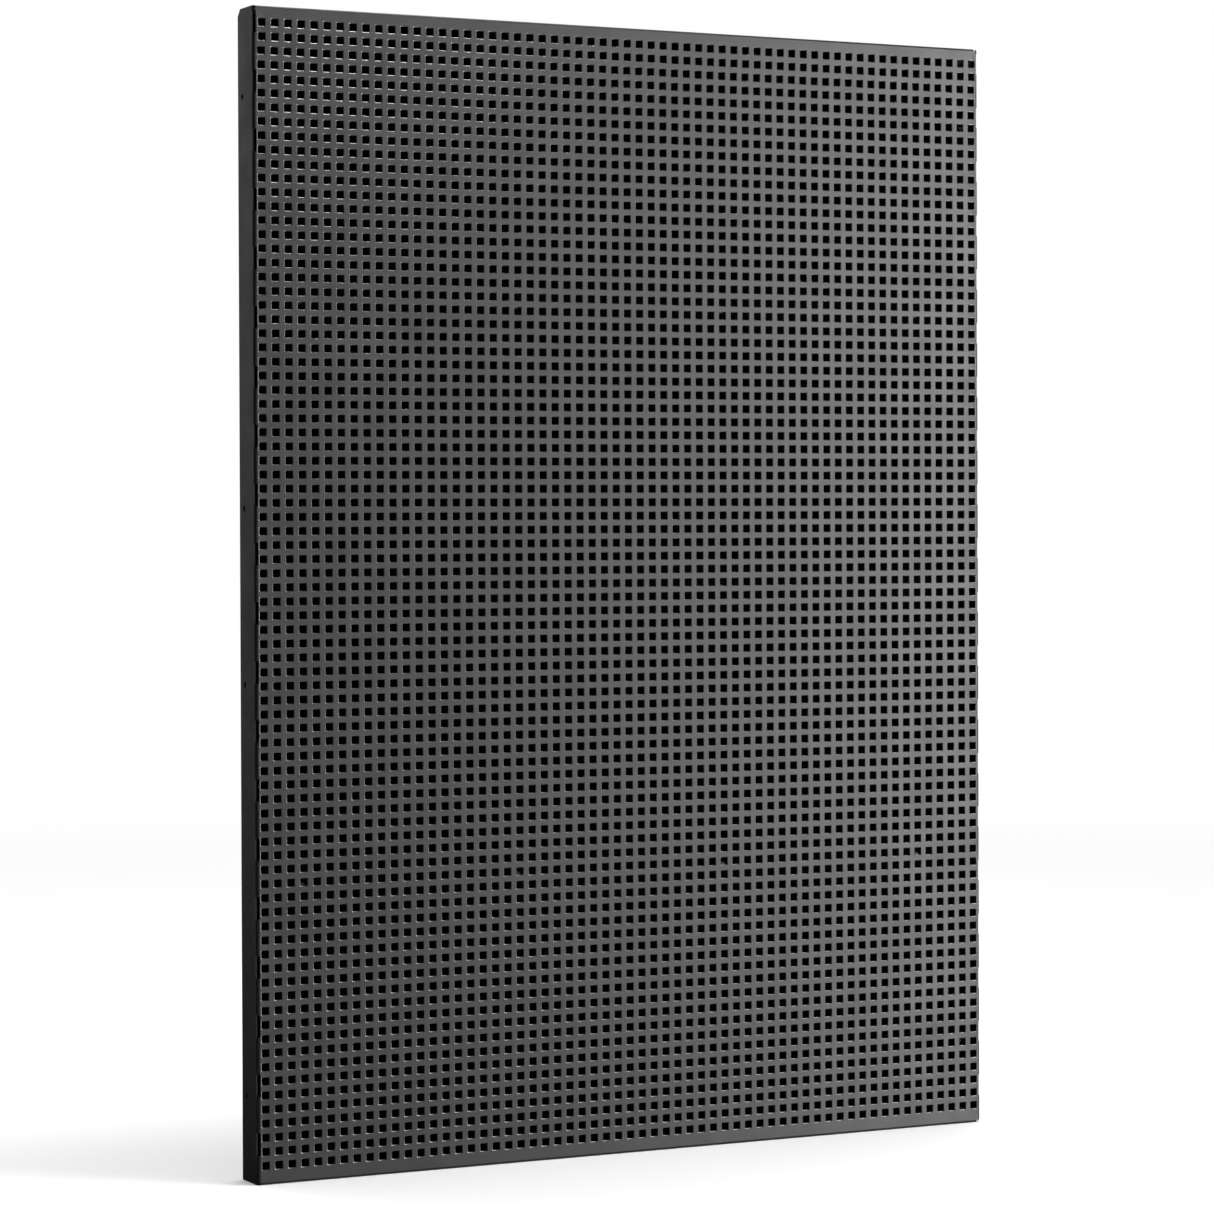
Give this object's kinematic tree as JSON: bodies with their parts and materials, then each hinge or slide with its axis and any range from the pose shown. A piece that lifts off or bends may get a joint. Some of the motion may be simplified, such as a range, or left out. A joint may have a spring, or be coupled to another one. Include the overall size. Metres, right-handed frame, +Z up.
{
  "type": "perforated gondola back panel",
  "caption": "Folded sheet-steel back panel with a square-hole perforated face, bracket slots along both upright folds and side screw holes, for retail gondola shelving.",
  "frame": {"origin": "middle of the bottom edge, at half the panel's depth, on the plane it stands on", "axes": "+Z up the panel's height, +X across its width, -Y out of the perforated face"},
  "size_m": [0.72, 0.035, 0.998],
  "materials": {
    "skin_powder_coat": "black semi-gloss powder coat on 1.2 mm sheet steel, with a fine orange-peel texture",
    "cover_powder_coat": "black satin powder coat on 0.8 mm sheet steel",
    "channel_powder_coat": "black satin powder coat on 1 mm sheet steel",
    "nut_powder_coat": "black powder coat over a steel weld nut",
    "rivet_blackened": "blackened aluminium blind rivet, satin"
  },
  "bodies": {
    "root": {"front_skin": "skin_powder_coat", "rear_cover": "cover_powder_coat", "stiffener_channel_upper": "channel_powder_coat", "stiffener_channel_middle": "channel_powder_coat", "stiffener_channel_lower": "channel_powder_coat", "cover_rivet_upper_1": "rivet_blackened", "cover_rivet_upper_2": "rivet_blackened", "cover_rivet_upper_3": "rivet_blackened", "cover_rivet_upper_4": "rivet_blackened", "cover_rivet_middle_1": "rivet_blackened", "cover_rivet_middle_2": "rivet_blackened", "cover_rivet_middle_3": "rivet_blackened", "cover_rivet_middle_4": "rivet_blackened", "cover_rivet_lower_1": "rivet_blackened", "cover_rivet_lower_2": "rivet_blackened", "cover_rivet_lower_3": "rivet_blackened", "cover_rivet_lower_4": "rivet_blackened", "weld_nut_left_1": "nut_powder_coat", "weld_nut_left_2": "nut_powder_coat", "weld_nut_left_3": "nut_powder_coat", "weld_nut_left_4": "nut_powder_coat", "weld_nut_right_1": "nut_powder_coat", "weld_nut_right_2": "nut_powder_coat", "weld_nut_right_3": "nut_powder_coat", "weld_nut_right_4": "nut_powder_coat"}
  },
  "joints": []
}
